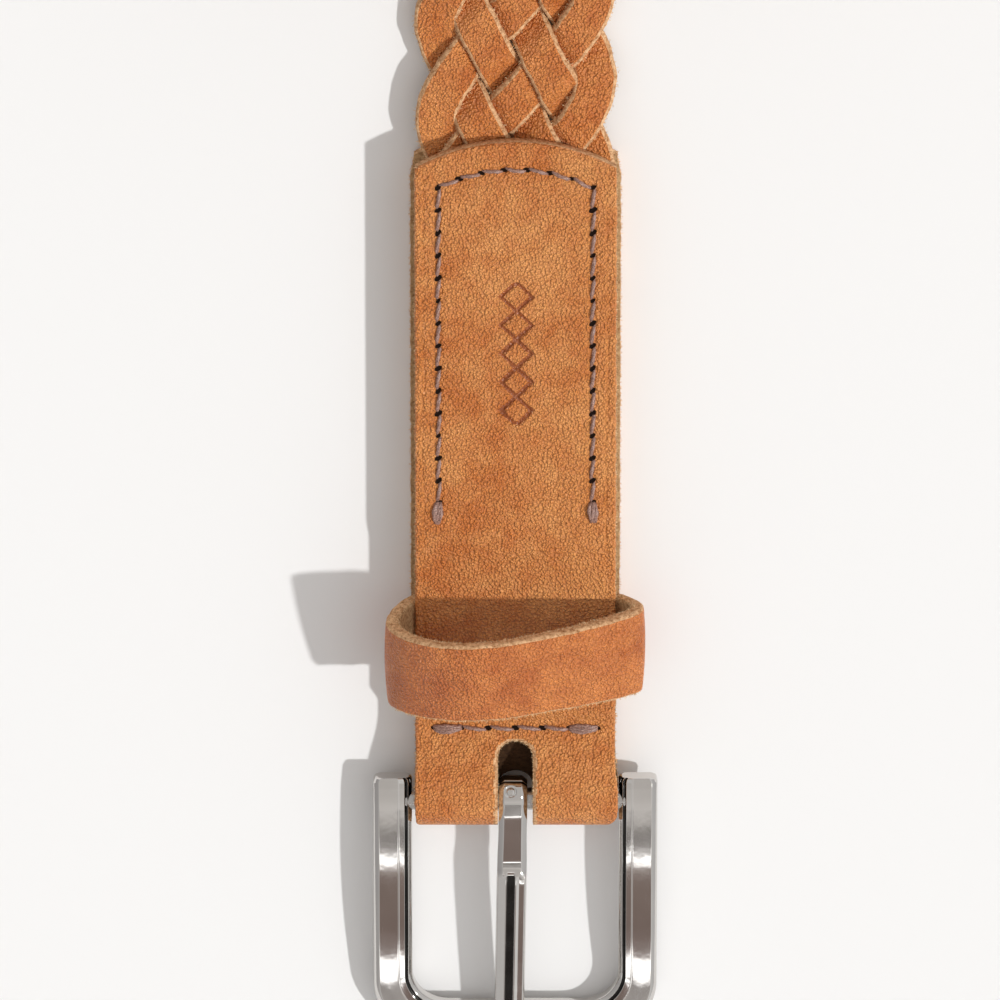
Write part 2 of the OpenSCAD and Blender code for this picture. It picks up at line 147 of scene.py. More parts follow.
def tube(name, grid, mats, column_mats, wrap_rows=False, flip=False):
    """A closed mesh from a grid of rings. column_mats gives each column of faces its material."""
    n, m = grid.shape[:2]
    faces = grid_faces(n, m, wrap_rows, flip).tolist()
    fm = np.tile(np.asarray(column_mats), n if wrap_rows else n - 1).tolist()
    if not wrap_rows:
        a, b = list(range(m)), list(range((n - 1) * m, n * m))
        faces += [a, b[::-1]] if flip else [a[::-1], b]
        fm += [column_mats[0]] * 2
    return add_mesh(name, grid.reshape(-1, 3), faces, mats, fm)


# ---------- materials
class Nodes:
    """Shader nodes of one material, made and linked in short calls."""

    def __init__(self, name):
        self.mat = bpy.data.materials.new(name)
        self.mat.use_nodes = True
        self.tree = self.mat.node_tree
        self.bsdf = self.tree.nodes["Principled BSDF"]
        self.coord = self.add("ShaderNodeTexCoord").outputs["Object"]

    def add(self, kind, **inputs):
        node = self.tree.nodes.new(kind)
        for key, value in inputs.items():
            self.put(node.inputs[key.replace("_", " ")], value)
        return node

    def put(self, socket, value):
        if isinstance(value, bpy.types.NodeSocket):
            self.tree.links.new(value, socket)
        else:
            socket.default_value = value

    def noise(self, scale, detail=3.0, rough=0.55):
        node = self.add("ShaderNodeTexNoise", Scale=scale, Detail=detail, Roughness=rough,
                        Vector=self.coord)
        return node.outputs["Fac"]

    def cells(self, scale, vector, smoothness):
        """Rounded cells: nothing at their middles, more towards their borders."""
        node = self.tree.nodes.new("ShaderNodeTexVoronoi")
        node.feature = "SMOOTH_F1"
        for key, value in (("Scale", scale), ("Smoothness", smoothness), ("Vector", vector)):
            self.put(node.inputs[key], value)
        return node.outputs["Distance"]

    def ramp(self, fac, stops):
        node = self.tree.nodes.new("ShaderNodeValToRGB")
        while len(node.color_ramp.elements) < len(stops):
            node.color_ramp.elements.new(0.5)
        for e, (at, colour) in zip(node.color_ramp.elements, stops):
            e.position = at
            e.color = (*colour, 1.0)
        self.put(node.inputs["Fac"], fac)
        return node.outputs["Color"]

    def blend(self, kind, fac, a, b):
        node = self.tree.nodes.new("ShaderNodeMix")
        node.data_type = "RGBA"
        node.blend_type = kind
        self.put(node.inputs[0], fac)
        self.put(node.inputs[6], a)
        self.put(node.inputs[7], b)
        return node.outputs[2]

    def math(self, op, a, b=0.0):
        node = self.tree.nodes.new("ShaderNodeMath")
        node.operation = op
        self.put(node.inputs[0], a)
        self.put(node.inputs[1], b)
        return node.outputs[0]

    def span(self, value, a, b, c=0.0, d=1.0):
        node = self.add("ShaderNodeMapRange")
        keys = ("Value", "From Min", "From Max", "To Min", "To Max")
        for key, v in zip(keys, (value, a, b, c, d)):
            self.put(node.inputs[key], v)
        return node.outputs["Result"]

    def bump(self, height, distance):
        node = self.add("ShaderNodeBump", Height=height, Distance=distance, Strength=1.0)
        return node.outputs["Normal"]

    def done(self, colour, rough, normal=None, metallic=0.0, specular=0.5):
        self.put(self.bsdf.inputs["Base Color"], colour)
        self.put(self.bsdf.inputs["Roughness"], rough)
        self.put(self.bsdf.inputs["Metallic"], metallic)
        self.put(self.bsdf.inputs["Specular IOR Level"], specular)
        if normal is not None:
            self.put(self.bsdf.inputs["Normal"], normal)
        return self.mat


def grain(name, dark, mid, light, scale=2250.0, depth=0.00065):
    """Fine pebbled grain leather: small domes with creases between them, cloudy dye, and painted
    shade darkening the creases.
    """
    m = Nodes(name)
    warp = m.add("ShaderNodeVectorMath")
    warp.operation = "MULTIPLY_ADD"
    swirl = m.add("ShaderNodeTexNoise", Scale=1400.0, Detail=2.0, Vector=m.coord)
    warped = (swirl.outputs["Color"], (0.0005, 0.0005, 0.0005), m.coord)
    for socket, value in zip(warp.inputs, warped):
        m.put(socket, value)
    pebble = m.cells(scale, warp.outputs[0], 0.3)
    fine = m.noise(5200.0, 3.0, 0.6)
    mid_wave = m.noise(700.0, 2.0)
    broad = m.noise(60.0, 3.0)
    cloud = m.noise(260.0, 4.0, 0.6)
    small = m.math("ADD", m.math("MULTIPLY", fine, 0.30), m.math("MULTIPLY", mid_wave, 0.25))
    height = m.math("ADD", m.math("MULTIPLY", pebble, -1.0), small)
    crease = m.span(pebble, 0.25, 0.60)
    base = m.ramp(m.math("ADD", m.math("MULTIPLY", broad, 0.5), m.math("MULTIPLY", cloud, 0.5)),
                  [(0.38, mid), (0.62, light)])
    # The creases are darkened towards the dark colour: painted shade between the domes.
    colour = m.blend("MIX", m.math("MULTIPLY", crease, 0.44), base, (*dark, 1.0))
    rough = m.span(m.math("ADD", fine, crease), 0.3, 1.5, 0.22, 0.44)
    return m.done(colour, rough, m.bump(height, depth), specular=0.5)


def raw(name, dark, light, scale=1500.0, depth=0.00025):
    """Cut edge or flesh side of leather: pale loose fibres with dark specks."""
    m = Nodes(name)
    fibre = m.noise(scale, 5.0, 0.7)
    speck = m.noise(scale * 2.2, 2.0)
    base = m.ramp(fibre, [(0.34, dark), (0.60, light)])
    colour = m.blend("MIX", m.span(speck, 0.62, 0.72, 0.0, 0.7), base,
                     (dark[0] * 0.25, dark[1] * 0.25, dark[2] * 0.25, 1.0))
    return m.done(colour, 0.95, m.bump(fibre, depth), specular=0.15)


def metal(name, colour, rough, scratch=0.05):
    """Polished plate with faint smears and fine rubbing."""
    m = Nodes(name)
    smear = m.noise(160.0, 3.0)
    scuff = m.noise(2400.0, 4.0, 0.7)
    rough_out = m.math("ADD", m.span(smear, 0.3, 0.7, rough * 0.6, rough * 1.4),
                       m.span(scuff, 0.60, 0.80, 0.0, scratch))
    worn = [c * 0.93 for c in colour]
    tint = m.blend("MIX", m.span(smear, 0.2, 0.8), (*worn, 1.0), (*colour, 1.0))
    return m.done(tint, rough_out, m.bump(smear, 0.000018), metallic=1.0)


GRAIN = grain("tan_grain", (0.31, 0.072, 0.015), (0.76, 0.232, 0.049), (1.0, 0.430, 0.132))
# Much darker grain for the hollows of the pressed pattern: painted shade.
PRESSED_SHADE = grain("pressed_grain_painted_shade", (0.16, 0.035, 0.008), (0.34, 0.090, 0.022), (0.44, 0.125, 0.033),
                depth=0.00025)
STRAND_GRAIN = grain("strand_grain", (0.31, 0.070, 0.014), (0.73, 0.208, 0.044),
                     (1.0, 0.400, 0.118))
KEEPER_GRAIN = grain("keeper_grain", (0.28, 0.062, 0.012), (0.64, 0.166, 0.031),
                     (0.93, 0.320, 0.080))
EDGE = raw("raw_edge", (0.36, 0.15, 0.055), (0.82, 0.51, 0.28))
# Near-black flesh for the inner faces round the fold and slot: painted shade.
SHADE = raw("inner_flesh_painted_shade", (0.035, 0.016, 0.008), (0.07, 0.035, 0.016))
FLESH = raw("flesh_side", (0.34, 0.18, 0.08), (0.62, 0.40, 0.21))
NICKEL = metal("polished_nickel", (0.68, 0.655, 0.63), 0.055)
# Near-black, rougher metal for the grooves of the frame and the prong.
NEAR_BLACK_GROOVE = metal("groove_nickel", (0.035, 0.033, 0.031), 0.25)
STEEL = metal("drawn_steel", (0.55, 0.53, 0.51), 0.25)


def thread_material():
    m = Nodes("brown_thread")
    fuzz = m.noise(5200.0, 4.0, 0.7)
    colour = m.ramp(fuzz, [(0.36, (0.075, 0.030, 0.024)), (0.66, (0.55, 0.32, 0.25))])
    return m.done(colour, 0.38, m.bump(fuzz, 0.00006), specular=0.6)


THREAD = thread_material()
# Near-black stuff for the mouths of the needle holes: painted shade inside them.
HOLE_SHADE = Nodes("hole_painted_shade").done((0.012, 0.006, 0.004, 1.0), 0.95, specular=0.1)


# ---------- smooth random lines
def wobble(t, pitch, seed):
    """A smooth random curve of unit size over t, with features about pitch long."""
    t = np.asarray(t, dtype=float)
    out = np.zeros_like(t)
    for o, size in enumerate((1.0, 0.5)):
        r = np.random.default_rng(seed * 17 + o)
        values = r.uniform(-1, 1, 4096)
        u = t / pitch * 2 ** o + 100.0
        i = np.floor(u).astype(int)
        f = u - i
        out += size * mix(values[i % 4096], values[(i + 1) % 4096], smooth(f))
    return out


# ---------- loose fibres on cut edges
def fibre_material():
    m = Nodes("loose_fibre")
    tone = m.ramp(m.noise(2600.0, 2.0), [(0.35, (0.50, 0.27, 0.11)), (0.55, (0.90, 0.68, 0.42))])
    return m.done(tone, 0.8, specular=0.2)


FIBRE = fibre_material()


def fuzz(name, base, out, length, body, seed, width=0.10):
    """Short bent blades that stand out of a cut edge. base and out are points and directions."""
    r = np.random.default_rng(seed)
    n = len(base)
    out = out + r.normal(0, 0.55, (n, 3))
    out /= np.linalg.norm(out, axis=1)[:, None]
    side = np.cross(out, r.normal(0, 1, (n, 3)))
    side /= np.linalg.norm(side, axis=1)[:, None]
    reach = (length * r.uniform(0.35, 1.0, n) ** 1.6)[:, None]
    bend = side * reach * r.uniform(-0.6, 0.6, (n, 1))
    wide = np.cross(out, side) * width / 2
    root = base - out * 0.12
    mid = base + out * reach * 0.55 + bend * 0.3
    tip = base + out * reach + bend
    blades = [root - wide, root + wide, mid + wide * 0.8, mid - wide * 0.8, tip]
    verts = np.stack(blades, 1).reshape(-1, 3)
    k = np.arange(n)[:, None] * 5
    quads = (k + np.array([0, 1, 2, 3])).tolist()
    tris = (k + np.array([3, 2, 4])).tolist()
    obj = add_mesh(name, verts, quads + tris, [FIBRE])
    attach(obj, body)
    return obj


# ---------- the braid
CYCLE = STRANDS * LOBE
BIAS, ROUND = 0.1, 0.95                # how far the crossings lean, and how round the turns are
LOBE_FIRST = 8.9
AMP = (BELT_W - 1) / 2 - 6.4 / 2       # how far the middle of a strand goes to each side
LAYER = STRAND_T / 2 + 0.14
# Over (1), under (-1) or turning (0), at each twelfth of a strand's cycle.
SIGNS = np.array([0, 1, -1, 1, -1, 1, 0, -1, 1, -1, 1, -1])
TAU = 2 * math.pi
FINE_TO = 175.0                        # strands are drawn more coarsely past here
BRAID_START, STRAND_STEP = 48.5, 0.55


def path_x(p):
    """Place of a strand's middle across the belt, at phase p."""
    return AMP * np.arcsin(ROUND * np.cos(TAU * p)) / math.asin(ROUND)


def path_s(p):
    """Its place along the belt."""
    return CYCLE * (p - BIAS * (1 - np.cos(TAU * p)) / 2)


def path_dir(p):
    """Its direction."""
    d = 0.001
    return np.arctan2(path_s(p + d) - path_s(p - d), path_x(p + d) - path_x(p - d))


def height(p):
    """Height of a strand's middle off the strap's middle at phase p."""
    m = p * 12
    j = np.floor(m).astype(int)
    f = m - j
    a, b = SIGNS[j % 12], SIGNS[(j + 1) % 12]
    flat_a = np.where(a == 0, 0.0, 0.26)
    flat_b = np.where(b == 0, 0.0, 0.26)
    return LAYER * mix(a, b, smooth((f - flat_a) / (1 - flat_a - flat_b)))


def section(width, thick, edge_r, under_r, count=11):
    """Closed outline of a strip: (place across from -1 to 1, height), and each side's material."""
    q = np.linspace(-1, 1, count)
    q = np.sign(q) * np.abs(q) ** 0.72
    half = width / 2

    def drop(q, r):
        over = np.clip((np.abs(q) * half - (half - r)) / r, 0, 1)
        return r * (1 - np.sqrt(1 - over * over * 0.96))

    top = [(a, thick / 2 - d) for a, d in zip(q, drop(q, edge_r))]
    low = [(a, -thick / 2 + d) for a, d in zip(q[::-1], drop(q[::-1], under_r))]
    right = [(1.012, thick * 0.12), (1.0, -thick * 0.15)]
    left = [(-1.0, -thick * 0.15), (-1.012, thick * 0.12)]
    pts = top + right + low + left
    # Materials of the faces that start at each point: 0 grain, 1 edge, 2 flesh.
    mats = [0] * (count - 1) + [1] * 3 + [2] * (count - 1) + [1] * 3
    mats[0] = mats[count - 2] = 1
    return np.array(pts), mats


def strand(k, s_from, s_to):
    """One strand over its whole length, with the loose fibres of its edges."""
    first = k * LOBE + LOBE_FIRST
    p = np.arange((s_from - first) / CYCLE - 0.15, (s_to - first) / CYCLE + 0.15, 0.0001)
    s = path_s(p) + first
    x = path_x(p)
    keep = (s > s_from) & (s < s_to)
    p, s, x = p[keep], s[keep], x[keep]
    run = np.concatenate([[0], np.cumsum(np.hypot(np.diff(x), np.diff(s)))])
    at = [0.0]
    while at[-1] < run[-1]:
        here = np.interp(at[-1], run, s)
        at.append(at[-1] + STRAND_STEP * (1 if here < FINE_TO else 2.2))
    p = np.interp(np.array(at[:-1]), run, p)
    run = np.array(at[:-1])
    x, s = path_x(p), path_s(p) + first
    d = path_dir(p)
    other = path_dir(1 - p)
    turn = np.abs(np.cos(TAU * p)) ** 6
    along = np.where(np.sin(TAU * p) >= 0, other, other - math.pi)
    a = mix(along, d - math.pi / 2, turn)
    pts, mats = section(STRAND_W, STRAND_T, 0.35, 0.3)
    reach = STRAND_W / 2 / np.abs(np.sin(a - d))
    left = 1 + 0.035 * wobble(run, 1.6, 3 * k + 1)
    right = 1 + 0.035 * wobble(run, 1.6, 3 * k + 2)
    q = pts[None, :, 0] * np.where(pts[None, :, 0] < 0, left[:, None], right[:, None])
    crown = 0.10 * (1 - pts[None, :, 0] ** 2) * (pts[None, :, 1] > 0)
    lift = height(p)[:, None] + 0.06 * wobble(run, 9.0, 3 * k + 5)[:, None]
    gx = x[:, None] + q * (reach * np.cos(a))[:, None]
    gs = s[:, None] + q * (reach * np.sin(a))[:, None]
    gz = lift + pts[None, :, 1] + crown
    grid = place(-gx, gs, gz)
    obj = tube("strand_%d_leather" % (k + 1), grid, [STRAND_GRAIN, EDGE, FLESH], mats)
    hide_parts("strand_%d" % (k + 1))
    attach(obj, "strap")
    # Loose fibres along both edges.
    r = np.random.default_rng(500 + k)
    low, high = grid[:, (len(pts) - 4) // 2], grid[:, len(pts) - 1]
    across = low - high
    across /= np.linalg.norm(across, axis=1)[:, None]
    near = np.nonzero(gs.mean(axis=1) < FINE_TO - 3)[0]
    rows = np.concatenate([r.choice(near, 900), r.choice(len(grid), 1500)])
    flip = r.random(len(rows)) < 0.5
    base = np.where(flip[:, None], low[rows], high[rows])
    base = base + r.uniform(-0.25, 0.25, (len(rows), 3))
    out = np.where(flip[:, None], across[rows], -across[rows]) + np.array([0, 0, 0.25])
    fuzz("strand_%d_fibres" % (k + 1), base, out, 0.55, "strap", 600 + k)


for k in range(STRANDS):
    strand(k, BRAID_START, STRAND_TO - 1.5)

# ---------- the folded head
STITCH = 4.2
ROW_X, ROW_FROM = 13.4, 54.0           # the two long rows, and where they begin
END_C = HEAD_LEN - HEAD_END_R
END_R = HEAD_END_R - 5.0
END_A = math.asin(ROW_X / END_R)
ROW_FAR = END_C + END_R * math.cos(END_A)
ROW_COUNT = int((ROW_FAR - ROW_FROM) // STITCH)
END_COUNT = round(END_R * 2 * END_A / STITCH)
head_holes = ([(-ROW_X, ROW_FAR - i * STITCH) for i in range(ROW_COUNT, 0, -1)]
              + [(END_R * math.sin(-END_A + 2 * END_A * i / END_COUNT),
                  END_C + END_R * math.cos(-END_A + 2 * END_A * i / END_COUNT))
                 for i in range(END_COUNT + 1)]
              + [(ROW_X, ROW_FAR - i * STITCH) for i in range(1, ROW_COUNT + 1)])
CROSS_HALF, CROSS_COUNT = 14.3, 6
cross_holes = [(-CROSS_HALF + 2 * CROSS_HALF * i / CROSS_COUNT, CROSS_Y)
               for i in range(CROSS_COUNT + 1)]


def end_y(x):
    """How far the head reaches at x across."""
    return END_C + np.sqrt(np.maximum(HEAD_END_R ** 2 - np.asarray(x) ** 2, 0))


def dimple(x, y, points, r, depth):
    """How far small round dimples press the surface in."""
    out = np.zeros_like(x)
    for hx, hy in points:
        d2 = ((x - hx) ** 2 + (y - hy) ** 2) / r ** 2
        out = np.maximum(out, depth * np.exp(-d2))
    return out


def motif(x, y):
    """How deep the plain pressed pattern is: a row of lozenges with a dot between them."""
    y0, y1, half, count, depth = 72.5, 99.0, 3.3, 5, 0.45
    inside = (y > y0) & (y < y1) & (np.abs(x) < half)
    pitch = (y1 - y0) / count
    v = np.abs(((y - y0) / pitch) % 1.0 - 0.5) * 2
    u = np.abs(x) / (half - 0.6)
    lozenge = np.exp(-((u + v - 1.0) / 0.19) ** 4)
    dot = np.exp(-((x / 0.6) ** 2 + ((1 - v) * pitch / 2 / 0.6) ** 2) ** 2)
    return depth * inside * np.maximum(lozenge, dot)


def slot_gap(x, y, reach):
    """Distance to the line of the slot, less than nothing inside it."""
    return np.hypot(x, np.maximum(y - (reach - SLOT_W / 2), 0)) - SLOT_W / 2


def slot_reach(grid):
    """How far the slot reaches at points of a grid: less on the underside."""
    return np.where(grid[..., 2] > BAR_Z, SLOT_REACH, SLOT_UNDER)


def head_mesh():
    """Outer and inner grids of the folded head: rows run round the fold, columns across it."""
    columns = 161
    q = np.linspace(-1, 1, columns)
    q = np.sign(q) * (1 - (1 - np.abs(q)) ** 1.2)
    flat = np.concatenate([np.linspace(0, 0.4, 150), np.linspace(0.4, 1.0, 300)[1:]])
    arc = np.radians(np.linspace(270, 90, 30))[1:-1]
    half = BELT_W / 2
    x = q[None, :] * half

    def layer(sign, skin):
        """skin 1 is the outer, grain side, and 0 the inner, flesh side."""
        y = flat[:, None] * end_y(x)
        # The outer edges are rounded all round.
        near = np.minimum((half - np.abs(x)) + 0 * y, end_y(x) - y)
        over = np.clip((EDGE_ROUND - near) / EDGE_ROUND, 0, 1)
        fall = EDGE_ROUND * (1 - np.sqrt(1 - 0.95 * over ** 2))
        return y, BAR_Z + sign * (half_gap(y) + (LEATHER - fall if skin else 0.0))

    # Outer surface: the back from its end to the fold, round the fold, then the face to its end.
    yb, zb = layer(-1, 1)
    yf, zf = layer(1, 1)
    over = np.clip((EDGE_ROUND - (half - np.abs(x))) / EDGE_ROUND, 0, 1)
    fall = EDGE_ROUND * (1 - np.sqrt(1 - 0.95 * over ** 2))
    ya = (BAR_Z - fall) * np.cos(arc)[:, None]
    za = BAR_Z + (BAR_Z - fall) * np.sin(arc)[:, None]
    # The face is pressed in by its stitches, its pattern and two small scars.
    press = dimple(x + 0 * yf, yf, head_holes, 0.85, 0.45) + motif(x + 0 * yf, yf)
    press = press + dimple(x + 0 * yf, yf, ((-2.3, 115.4), (-2.0, 114.2)), 0.4, 0.3)
    press = np.maximum(press, dimple(x + 0 * yf, yf, cross_holes, 0.8, 0.4))
    # Each long row lies in a shallow line, and a crease runs beside each edge.
    for sx in (-1, 1):
        line = (np.exp(-((x - sx * ROW_X) / 0.8) ** 2) * smooth((yf - ROW_FROM + 2) / 3)
                * smooth((ROW_FAR + 1.0 - yf) / 2))
        press = np.maximum(press, 0.16 * line)
        crease = np.exp(-((x - sx * (half - 1.5 - 0.25 * wobble(yf, 9.0, 80 + sx))) / 0.24) ** 2)
        press = press + 0.20 * crease * (0.6 + 0.4 * wobble(yf, 14.0, 84 + sx))
    # The rim of the slot slopes in.
    rim = slot_gap(x + 0 * yf, yf, SLOT_REACH)
    press = press + 0.55 * np.clip(1 - rim / 0.9, 0, 1) ** 1.5
    zf = zf - press
    outer_y = np.concatenate([yb[::-1], ya, yf])
    outer_z = np.concatenate([zb[::-1], za, zf])
    # Inner surface, in the same order.
    yb, zb = layer(-1, 0)
    yf, zf = layer(1, 0)
    ya = FOLD_R * np.cos(arc)[:, None] + 0 * x
    za = BAR_Z + FOLD_R * np.sin(arc)[:, None] + 0 * x
    inner_y = np.concatenate([yb[::-1], ya, yf])
    inner_z = np.concatenate([zb[::-1], za, zf])
    n = outer_y.shape[0]
    run = np.arange(n) * 0.45
    xo = np.repeat(x, n, axis=0)
    # The under layer stands out a little on both sides, and the fold's corners are worn round.
    under = np.zeros(n)
    under[:len(flat)] = smooth((outer_y[:len(flat), columns // 2] - 14) / 14) * smooth(
        (HEAD_LEN + 1 - outer_y[:len(flat), columns // 2]) / 6)
    xo = xo * (1 + 0.042 * under[:, None])
    level = outer_y[:, columns // 2]
    for side, r in ((-1, 1.3), (1, 2.6)):
        d = np.clip(r - (level + BAR_Z), 0, r)
        cut = r - np.sqrt(r * r - d * d)
        bulge = (0.55 if side > 0 else 0.15) * np.exp(-((level - 1.5) / 4.5) ** 2)
        xo = xo + side * (bulge - cut)[:, None] * np.clip((xo * side - half + 6) / 6, 0, 1)
    xo[:, 0] -= JAG * wobble(run, 1.1, 71)
    xo[:, -1] += JAG * wobble(run, 1.1, 72)
    outer = np.stack([xo, outer_y, outer_z], -1)
    inner = np.stack([xo, inner_y, inner_z], -1)
    for grid in (outer, inner):
        # Rim points move onto the line of the slot, so that its edge is clean.
        gx, gy = grid[..., 0], grid[..., 1]
        reach = slot_reach(grid)
        gap, end = slot_gap(gx, gy, reach), reach - SLOT_W / 2
        dy = np.maximum(gy - end, 0)
        length = np.maximum(np.hypot(gx, dy), 1e-6)
        near = np.abs(gap) < 0.28
        grid[..., 0] = np.where(near, gx * (SLOT_W / 2) / length, gx)
        grid[..., 1] = np.where(near & (gy > end), end + dy * (SLOT_W / 2) / length, gy)
    return outer, inner, (len(flat), len(arc))


def build_head():
    """The head as one closed mesh, with the loose fibres of its sides and slot."""
    skin, edge, flesh, shade, pressed = range(5)       # its materials
    outer, inner, (nf, na) = head_mesh()
    n, m = outer.shape[:2]
    # The slot: faces are left out where all their corners lie inside its line.
    rim = slot_gap(outer[..., 0], outer[..., 1], slot_reach(outer))
    cut = rim < 0.02
    cut[0] = False
    hole_quads = (cut[:-1, :-1] & cut[1:, :-1] & cut[1:, 1:] & cut[:-1, 1:])
    rim = (rim[:-1, :-1] + rim[1:, 1:]) / 2
    ragged = 0.62 + 0.22 * wobble(outer[:-1, :-1, 1], 0.7, 90)
    verts = np.concatenate([outer.reshape(-1, 3), inner.reshape(-1, 3)])
    base = n * m
    faces, mats = [], []
    keep = ~hole_quads
    index = np.arange(n * m).reshape(n, m)
    qo = np.stack([index[:-1, :-1], index[:-1, 1:], index[1:, 1:], index[1:, :-1]], -1)
    faces += qo[keep].tolist()
    # Faces deep in the pressed pattern take the much darker grain: painted shade in its hollows.
    deep = motif(outer[:-1, :-1, 0], outer[:-1, :-1, 1]) * (outer[:-1, :-1, 2] > BAR_Z) > 0.13
    mats += np.where(rim < ragged, edge, np.where(deep, pressed, skin))[keep].tolist()
    qi = (qo + base)[..., ::-1]
    faces += qi[keep].tolist()
    # Inner faces within 17 mm of the fold take the near-black flesh: painted shade inside the slot.
    mats += np.where(np.abs(inner[:-1, :-1, 1]) < 17, shade, flesh)[keep].tolist()
    # Walls wherever a kept quad has an open side.
    pad = np.zeros((n + 1, m + 1), bool)
    pad[1:n, 1:m] = keep
    for (di, dj, a, b) in ((0, -1, (0, 0), (1, 0)), (0, 1, (1, 1), (0, 1)),
                           (-1, 0, (0, 1), (0, 0)), (1, 0, (1, 0), (1, 1))):
        ii, jj = np.nonzero(keep & ~pad[1 + di:n + di, 1 + dj:m + dj])
        va = (ii + a[0]) * m + jj + a[1]
        vb = (ii + b[0]) * m + jj + b[1]
        w = np.stack([va, vb, vb + base, va + base], -1)
        faces += w.tolist()
        mats += [edge] * len(ii)
    obj = add_mesh("head_leather", verts, faces, [GRAIN, EDGE, FLESH, SHADE, PRESSED_SHADE], mats)
    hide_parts("buckle_tab")
    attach(obj, "strap")
    # Loose fibres: both sides, mostly of the under layer, and round the slot.
    r = np.random.default_rng(91)
    side_count, end_count, slot_count = 1500, 500, 700
    base, out = [], []
    for col, side in ((0, -1.0), (m - 1, 1.0)):
        under = np.arange(nf - 1)
        rows = r.choice(np.concatenate([under, under, np.arange(nf + na, n)]), side_count)
        t = r.random((side_count, 1))
        base.append(mix(outer[rows, col], inner[rows, col], t))
        out.append(np.tile([side, 0, 0.25], (side_count, 1)))
    turn = r.uniform(-0.2, math.pi + 0.2, end_count)
    along = r.uniform(-3.5, SLOT_END, slot_count)
    left = np.where(r.random(slot_count) < 0.5, -1.0, 1.0)
    wide = SLOT_W / 2 + 0.2
    px = np.concatenate([np.cos(turn) * wide, left * wide])
    py = np.concatenate([SLOT_END + np.sin(turn) * wide, along])
    round_fold = np.sqrt(np.maximum(BAR_Z ** 2 - py ** 2, 0))
    top = BAR_Z + np.where(py > 0, half_gap(py) + LEATHER, round_fold)
    base.append(np.stack([px, py, top - 0.35], -1))
    inward = np.stack([-px, -np.maximum(py - SLOT_END, 0), np.full(len(px), 1.5)], -1)
    out.append(inward / np.linalg.norm(inward, axis=1)[:, None])
    fibres = fuzz("head_fibres", np.concatenate(base), np.concatenate(out), 0.55, "strap", 92)


build_head()

# ---------- thread
def sweep(path, radius, lobes=3, twist=1.7, sides=12, lobe_size=0.16, phase=0.0):
    """Rings of a twisted thread along a path of points."""
    path = np.asarray(path, dtype=float)
    n = len(path)
    tangent = np.gradient(path, axis=0)
    tangent /= np.linalg.norm(tangent, axis=1)[:, None]
    ref = np.array([0.31, 0.17, 0.93])
    side = np.cross(tangent, ref)
    side /= np.linalg.norm(side, axis=1)[:, None]
    for i in range(1, n):
        s = side[i - 1] - tangent[i] * np.dot(side[i - 1], tangent[i])
        side[i] = s / np.linalg.norm(s)
    other = np.cross(tangent, side)
    run = np.concatenate([[0], np.cumsum(np.linalg.norm(np.diff(path, axis=0), axis=1))])
    ang = np.linspace(0, TAU, sides, endpoint=False)
    spin = phase + TAU * run / twist
    radius = np.broadcast_to(radius, (n,))
    r = radius[:, None] * (1 + lobe_size * np.cos(lobes * ang[None, :] - spin[:, None]))
    around = (np.cos(ang)[None, :, None] * side[:, None, :]
              + np.sin(ang)[None, :, None] * other[:, None, :])
    return path[:, None, :] + r[..., None] * around


def thread_mesh(name, tubes, body):
    """One mesh of capped tubes, each given as its rings."""
    verts, faces, base = [], [], 0
    for rings in tubes:
        q, w = rings.shape[:2]
        verts.append(rings.reshape(-1, 3))
        faces += grid_faces(q, w, base=base).tolist()
        faces += [list(range(base, base + w))[::-1],
                  list(range(base + (q - 1) * w, base + q * w))]
        base += q * w
    obj = add_mesh(name, np.concatenate(verts), faces, [THREAD])
    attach(obj, body)
    return obj


def holes_mesh(name, holes, at, body, seed, turns, size=(0.68, 0.38), depth=-0.10):
    """Near-black discs sunk into the needle holes: painted shade inside them."""
    r = np.random.default_rng(seed)
    verts, faces, sides = [], [], 14
    ang = np.linspace(0, TAU, sides, endpoint=False)
    for i, (hx, hy) in enumerate(holes):
        k = r.uniform(0.75, 1.2)
        a = turns[i] + r.uniform(-0.25, 0.25)
        c, s_ = math.cos(a), math.sin(a)
        u, v = size[0] * k * np.cos(ang), size[1] * k * np.sin(ang)
        dx, dy = u * c - v * s_, u * s_ + v * c
        verts += [at(hx + dx, hy + dy, np.full(sides, depth + 0.12)),
                  at(hx + 0.5 * dx, hy + 0.5 * dy, np.full(sides, depth))]
        first = 2 * sides * i
        faces += grid_faces(2, sides, base=first).tolist()
        faces += [list(range(first + sides, first + 2 * sides))]
    obj = add_mesh(name, np.concatenate(verts), faces, [HOLE_SHADE])
    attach(obj, body)
    return obj


def stitches(name, holes, at, radius, body, node, seed=1, slant=0.22):
    """One tube for each stitch between two holes, dipping into the leather at both ends."""
    r = np.random.default_rng(seed)
    t = np.linspace(0, 1, 22)
    sag = np.sin(math.pi * t) ** 0.45
    tubes = []
    for a, b in zip(np.array(holes[:-1]), np.array(holes[1:])):
        line = a[None] + (b - a)[None] * (0.06 + 0.88 * t)[:, None]
        n = np.array([-(b - a)[1], (b - a)[0]]) / np.linalg.norm(b - a)
        line = line + n[None] * (slant * (1 - 2 * t))[:, None]
        line = line + n[None] * (r.uniform(-0.10, 0.10) * np.sin(math.pi * t))[:, None]
        lift = -0.75 + (0.75 + radius * 0.72 + r.uniform(-0.04, 0.04)) * sag
        path = at(line[:, 0], line[:, 1], lift)
        tubes.append(sweep(path, radius * (0.9 + 0.1 * sag), phase=r.uniform(0, TAU)))
    obj = thread_mesh(name, tubes, body)
    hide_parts(node)


def face_at(sign):
    """Places on the head's face (1) or back (-1)."""
    def at(x, y, lift):
        z = BAR_Z + sign * (half_gap(y) + LEATHER - 0.18 + lift)
        return np.stack([x, y, z], -1)
    return at


